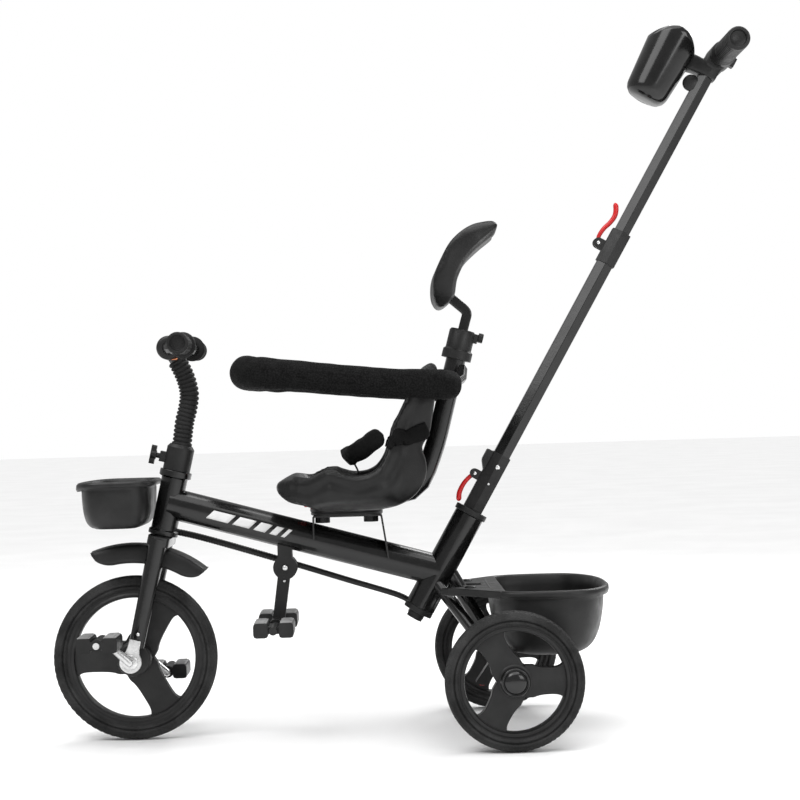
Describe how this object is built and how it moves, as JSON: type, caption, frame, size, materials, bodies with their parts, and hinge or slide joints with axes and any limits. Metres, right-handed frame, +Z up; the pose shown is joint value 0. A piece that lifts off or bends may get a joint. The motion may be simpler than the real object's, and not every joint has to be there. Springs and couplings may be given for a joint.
{
  "type": "children's push tricycle",
  "caption": "Pedal tricycle with swivel bucket seat, padded guard ring, headrest, storage baskets and a steering push handle.",
  "frame": {"origin": "on the ground, under the middle of the bounding box", "axes": "+X to the rear, +Y to the rider's right, +Z up; the front wheel points to -X"},
  "size_m": [1.0716, 0.444, 1.059],
  "materials": {
    "tyre": "matt black moulded tread",
    "black_frame_paint": "satin black powder coat with soft highlights",
    "bright_zinc": "bright zinc plate",
    "red_plastic": "glossy red moulding",
    "soft_rubber": "soft matt black rubber",
    "mesh_fabric": "black spacer mesh with visible weave",
    "seat_leather": "black leather-look cover with fine grain",
    "gloss_black_plastic": "glossy black moulding",
    "black_plastic": "fine textured black moulding"
  },
  "bodies": {
    "frame": {"head_tube": "black_frame_paint", "main_tube": "black_frame_paint", "handle_socket": "black_frame_paint", "socket_collar": "black_plastic", "socket_cap": "black_plastic", "rear_frame": "black_frame_paint", "rear_axle": "bright_zinc", "front_basket": "black_plastic", "rear_basket": "black_plastic", "footrest_bracket": "black_plastic", "seat_bracket": "black_frame_paint", "swivel_base": "black_plastic"},
    "steering_fork": {"fork": "black_frame_paint", "fork_end_left": "bright_zinc", "fork_end_right": "bright_zinc", "front_fender": "black_plastic", "stem_clamp": "black_plastic", "stem": "black_frame_paint", "stem_sleeve": "soft_rubber", "handlebar": "black_frame_paint", "handlebar_hub": "black_plastic", "grip_left": "soft_rubber", "grip_right": "soft_rubber"},
    "front_wheel": {"front_tyre": "tyre", "front_wheel": "black_plastic", "crank_axle": "bright_zinc"},
    "pedal_left": {"pedal_left": "black_plastic"},
    "pedal_right": {"pedal_right": "black_plastic"},
    "clamp_knob": {"clamp_knob": "black_plastic"},
    "rear_wheel_left": {"rear_tyre_left": "tyre", "rear_wheel_left": "black_plastic", "hub_cap_left": "gloss_black_plastic"},
    "rear_wheel_right": {"rear_tyre_right": "tyre", "rear_wheel_right": "black_plastic", "hub_cap_right": "gloss_black_plastic"},
    "brake_lever": {"brake_lever": "black_plastic"},
    "footrest": {"footrest_arm": "black_plastic"},
    "bracket_knob_front": {"bracket_knob_front": "black_plastic"},
    "bracket_knob_rear": {"bracket_knob_rear": "black_plastic"},
    "seat": {"swivel_top": "black_plastic", "seat_shell": "seat_leather", "lap_belt": "mesh_fabric", "guard_post": "black_frame_paint", "post_clamp": "black_plastic", "guard_tube": "black_frame_paint", "guard_pad": "mesh_fabric"},
    "seat_release": {"seat_release": "red_plastic"},
    "headrest": {"headrest_bar": "black_frame_paint", "headrest": "seat_leather"},
    "post_knob": {"post_knob": "black_plastic"},
    "push_handle": {"handle_sleeve": "black_plastic", "handle_mid_tube": "black_frame_paint", "upper_clamp": "black_plastic"},
    "handle_upper": {"handle_upper_tube": "black_frame_paint", "push_bar": "gloss_black_plastic", "cup_holder": "gloss_black_plastic"},
    "bar_button": {"bar_button": "black_plastic"},
    "upper_lever": {"upper_lever": "red_plastic"},
    "lower_lever": {"lower_lever": "red_plastic"},
    "steering_rod": {"steering_rod": "black_frame_paint"}
  },
  "joints": [
    {"name": "steering", "type": "hinge", "parent": "frame", "child": "steering_fork", "pos_m": [-0.40877, 0, 0.125], "axis": [0.2334, 0, 0.9724], "range_deg": [-20, 20]},
    {"name": "front_wheel_spin", "type": "hinge", "parent": "steering_fork", "child": "front_wheel", "pos_m": [-0.41077, 0, 0.125], "axis": [0, 1, 0], "continuous": true},
    {"name": "pedal_left_spin", "type": "hinge", "parent": "front_wheel", "child": "pedal_left", "pos_m": [-0.4488, -0.113, 0.16046], "axis": [0, 1, 0], "continuous": true},
    {"name": "pedal_right_spin", "type": "hinge", "parent": "front_wheel", "child": "pedal_right", "pos_m": [-0.37274, 0.113, 0.08954], "axis": [0, 1, 0], "continuous": true},
    {"name": "clamp_knob_turn", "type": "hinge", "parent": "steering_fork", "child": "clamp_knob", "pos_m": [-0.36588, 0, 0.43217], "axis": [0.9724, 0, -0.2334], "continuous": true},
    {"name": "rear_wheel_left_spin", "type": "hinge", "parent": "frame", "child": "rear_wheel_left", "pos_m": [0.15323, -0.197, 0.1], "axis": [0, 1, 0], "continuous": true},
    {"name": "rear_wheel_right_spin", "type": "hinge", "parent": "frame", "child": "rear_wheel_right", "pos_m": [0.15323, 0.197, 0.1], "axis": [0, 1, 0], "continuous": true},
    {"name": "brake_press", "type": "hinge", "parent": "frame", "child": "brake_lever", "pos_m": [0.15323, 0.045, 0.1], "axis": [0, 1, 0], "range_deg": [-18, 0]},
    {"name": "footrest_fold", "type": "hinge", "parent": "frame", "child": "footrest", "pos_m": [-0.17777, 0, 0.256], "axis": [0, 1, 0], "range_deg": [-62, 0]},
    {"name": "bracket_knob_front_turn", "type": "hinge", "parent": "frame", "child": "bracket_knob_front", "pos_m": [-0.11877, 0, 0.326], "axis": [0, 0, 1], "continuous": true},
    {"name": "bracket_knob_rear_turn", "type": "hinge", "parent": "frame", "child": "bracket_knob_rear", "pos_m": [-0.04477, 0, 0.326], "axis": [0, 0, 1], "continuous": true},
    {"name": "seat_swivel", "type": "hinge", "parent": "frame", "child": "seat", "pos_m": [-0.08147, 0, 0.34], "axis": [0, 0, 1], "range_deg": [0, 180]},
    {"name": "seat_release_pull", "type": "slide", "parent": "seat", "child": "seat_release", "axis": [-1, 0, 0], "range_m": [0, 0.01], "stiffness_N_per_m": 200},
    {"name": "headrest_height", "type": "slide", "parent": "seat", "child": "headrest", "axis": [0.2622, 0, 0.965], "range_m": [0, 0.04]},
    {"name": "post_knob_turn", "type": "hinge", "parent": "seat", "child": "post_knob", "pos_m": [0.13181, 0, 0.59687], "axis": [0.965, 0, -0.2622], "continuous": true},
    {"name": "handle_turn", "type": "hinge", "parent": "frame", "child": "push_handle", "pos_m": [0.10603, 0, 0.3274], "axis": [0.5, 0, 0.866], "range_deg": [-20, 20]},
    {"name": "handle_height", "type": "slide", "parent": "push_handle", "child": "handle_upper", "axis": [0.5, 0, 0.866], "range_m": [-0.13, 0]},
    {"name": "bar_button_press", "type": "slide", "parent": "handle_upper", "child": "bar_button", "axis": [-0.866, 0, 0.5], "range_m": [0, 0.003], "stiffness_N_per_m": 500},
    {"name": "upper_lever_flip", "type": "hinge", "parent": "push_handle", "child": "upper_lever", "pos_m": [0.31525, 0, 0.73777], "axis": [0, 1, 0], "range_deg": [-140, 0]},
    {"name": "lower_lever_flip", "type": "hinge", "parent": "push_handle", "child": "lower_lever", "pos_m": [0.11611, 0, 0.39086], "axis": [0, 1, 0], "range_deg": [0, 80]},
    {"name": "rod_push", "type": "slide", "parent": "frame", "child": "steering_rod", "axis": [0.9515, 0, -0.3077], "range_m": [-0.0106, 0.0106]}
  ],
  "couplings": [
    {"joint": "handle_turn", "follows": "steering", "ratio": 1},
    {"joint": "rod_push", "follows": "steering", "m_per_rad": -0.03}
  ]
}
